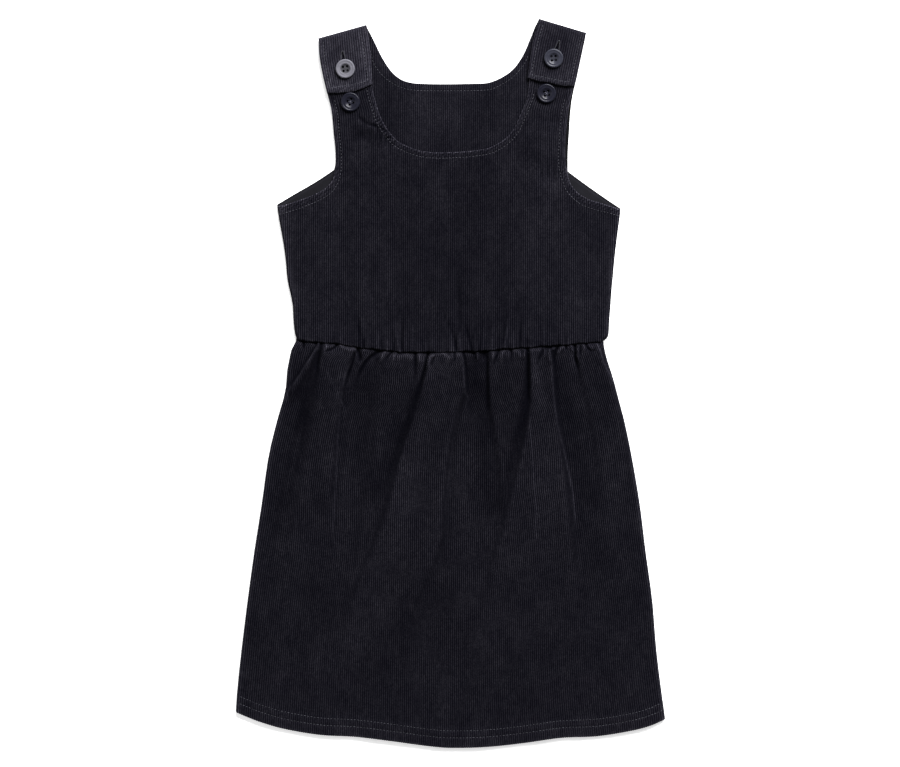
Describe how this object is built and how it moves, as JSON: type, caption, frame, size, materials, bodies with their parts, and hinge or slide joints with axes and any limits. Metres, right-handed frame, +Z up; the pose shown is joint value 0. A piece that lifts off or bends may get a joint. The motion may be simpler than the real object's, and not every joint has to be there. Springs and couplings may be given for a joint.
{
  "type": "pinafore dress",
  "caption": "Child's needlecord pinafore dress lying flat, with a scoop neck, a gathered skirt and shoulder straps folded forward as square tabs held by round buttons.",
  "frame": {"origin": "middle of the dress's footprint, on the surface it lies on", "axes": "+Y from the hem to the shoulders, +X across to the side that is on the right seen from the front, +Z up through the front of the dress"},
  "size_m": [0.36, 0.6122, 0.0096],
  "materials": {
    "front_bodice": "navy-black needlecord",
    "back_bodice": "navy-black needlecord",
    "back_neck_facing": "navy-black needlecord",
    "front_skirt": "navy-black needlecord",
    "back_skirt": "navy-black needlecord",
    "button_upper_left": "satin dark grey",
    "button_lower_left": "satin navy",
    "button_upper_right": "satin navy",
    "button_lower_right": "satin navy"
  },
  "bodies": {
    "root": {"front_bodice": "front_bodice", "back_bodice": "back_bodice", "back_neck_facing": "back_neck_facing", "front_skirt": "front_skirt", "back_skirt": "back_skirt", "button_upper_left": "button_upper_left", "button_lower_left": "button_lower_left", "button_upper_right": "button_upper_right", "button_lower_right": "button_lower_right"}
  },
  "joints": []
}
